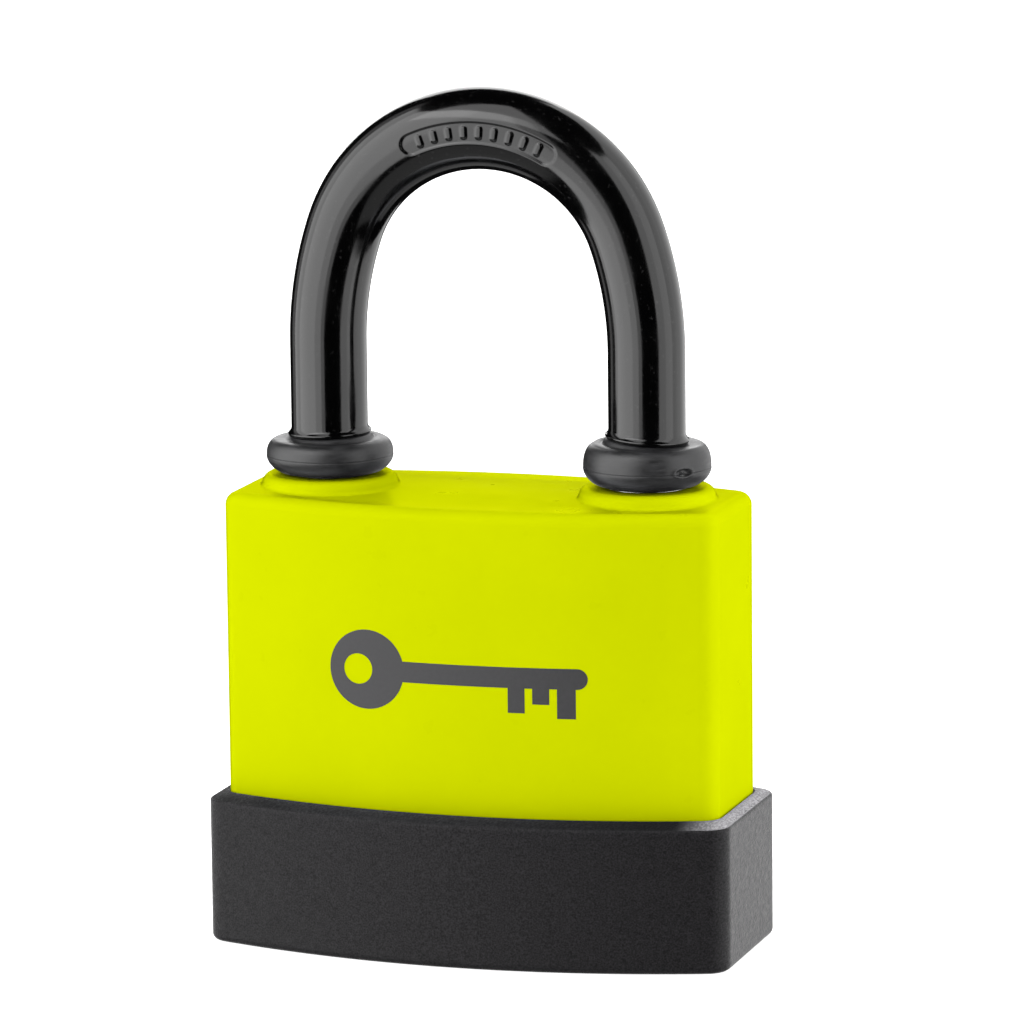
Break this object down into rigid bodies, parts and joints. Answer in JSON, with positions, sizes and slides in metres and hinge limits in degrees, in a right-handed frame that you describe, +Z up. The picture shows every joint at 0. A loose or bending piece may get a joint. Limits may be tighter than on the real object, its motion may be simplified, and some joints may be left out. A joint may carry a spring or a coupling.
{
  "type": "disc padlock",
  "caption": "Weatherproof padlock: a bulged rectangular body in a moulded cover, a grained base cap, a jacketed round shackle that lifts, and a keyed disc cylinder inside.",
  "frame": {"origin": "centre of the base's underside", "axes": "+Z up along the shackle legs, +X from the heel leg to the toe leg, front face towards -Y"},
  "size_m": [0.0706, 0.037, 0.1118],
  "materials": {
    "cover_plastic": "glossy moulded, yellow-green",
    "base_plastic": "coarse moulded grain, near black",
    "jacket_plastic": "smooth gloss black sleeve",
    "rubber": "satin black moulded rubber",
    "hardened_steel": "ground and polished",
    "steel": "machined, zinc plated",
    "brass": "machined"
  },
  "bodies": {
    "case": {"body_cover": "cover_plastic", "base_cap": "base_plastic", "lock_body": "steel", "bottom_plate": "steel", "cylinder_shell": "brass", "driver_bush": "brass", "retaining_screw": "steel", "heel_retaining_pin": "steel", "keyway_rivet": "steel", "shackle_spring": "steel", "heel_bore_seal": "rubber", "toe_bore_seal": "rubber", "base_screw_left": "steel", "base_screw_right": "steel"},
    "shackle": {"shackle_bar": "hardened_steel", "shackle_jacket": "jacket_plastic", "heel_collar": "rubber", "toe_collar": "rubber"},
    "plug": {"plug": "brass", "plug_clip": "steel", "plug_seal": "rubber", "driver_cam": "steel", "disc_spring_1": "steel", "disc_spring_2": "steel", "disc_spring_3": "steel", "disc_spring_4": "steel", "disc_spring_5": "steel", "disc_spring_6": "steel"},
    "disc_1": {"disc_1": "brass"},
    "disc_2": {"disc_2": "brass"},
    "disc_3": {"disc_3": "brass"},
    "disc_4": {"disc_4": "brass"},
    "disc_5": {"disc_5": "brass"},
    "disc_6": {"disc_6": "brass"},
    "latch_heel": {"latch_ball_heel": "hardened_steel"},
    "latch_toe": {"latch_ball_toe": "hardened_steel"},
    "keyway_cover": {"keyway_cover": "steel"}
  },
  "joints": [
    {"name": "shackle_lift", "type": "slide", "parent": "case", "child": "shackle", "axis": [0, 0, 1], "range_m": [0, 0.019], "deforming": ["shackle_spring"]},
    {"name": "plug_turn", "type": "hinge", "parent": "case", "child": "plug", "pos_m": [0, 0, 0.02], "axis": [0, 0, 1], "range_deg": [0, 90]},
    {"name": "latch_heel_slide", "type": "slide", "parent": "case", "child": "latch_heel", "axis": [-1, 0, 0], "range_m": [0, 0.00221]},
    {"name": "latch_toe_slide", "type": "slide", "parent": "case", "child": "latch_toe", "axis": [1, 0, 0], "range_m": [0, 0.00221]},
    {"name": "disc_1_slide", "type": "slide", "parent": "plug", "child": "disc_1", "axis": [0, 1, 0], "range_m": [0, 0.0005]},
    {"name": "disc_2_slide", "type": "slide", "parent": "plug", "child": "disc_2", "axis": [0, 1, 0], "range_m": [0, 0.0005]},
    {"name": "disc_3_slide", "type": "slide", "parent": "plug", "child": "disc_3", "axis": [0, 1, 0], "range_m": [0, 0.0005]},
    {"name": "disc_4_slide", "type": "slide", "parent": "plug", "child": "disc_4", "axis": [0, 1, 0], "range_m": [0, 0.0005]},
    {"name": "disc_5_slide", "type": "slide", "parent": "plug", "child": "disc_5", "axis": [0, 1, 0], "range_m": [0, 0.0005]},
    {"name": "disc_6_slide", "type": "slide", "parent": "plug", "child": "disc_6", "axis": [0, 1, 0], "range_m": [0, 0.0005]},
    {"name": "keyway_cover_swing", "type": "hinge", "parent": "case", "child": "keyway_cover", "pos_m": [0.01, 0, 0.0016], "axis": [0, 0, -1], "range_deg": [0, 90]}
  ],
  "couplings": [
    {"joint": "latch_heel_slide", "follows": "plug_turn", "m_per_rad": 0.0014006},
    {"joint": "latch_toe_slide", "follows": "plug_turn", "m_per_rad": 0.0014006},
    {"joint": "disc_2_slide", "follows": "disc_1_slide", "ratio": 1},
    {"joint": "disc_3_slide", "follows": "disc_1_slide", "ratio": 1},
    {"joint": "disc_4_slide", "follows": "disc_1_slide", "ratio": 1},
    {"joint": "disc_5_slide", "follows": "disc_1_slide", "ratio": 1},
    {"joint": "disc_6_slide", "follows": "disc_1_slide", "ratio": 1}
  ]
}
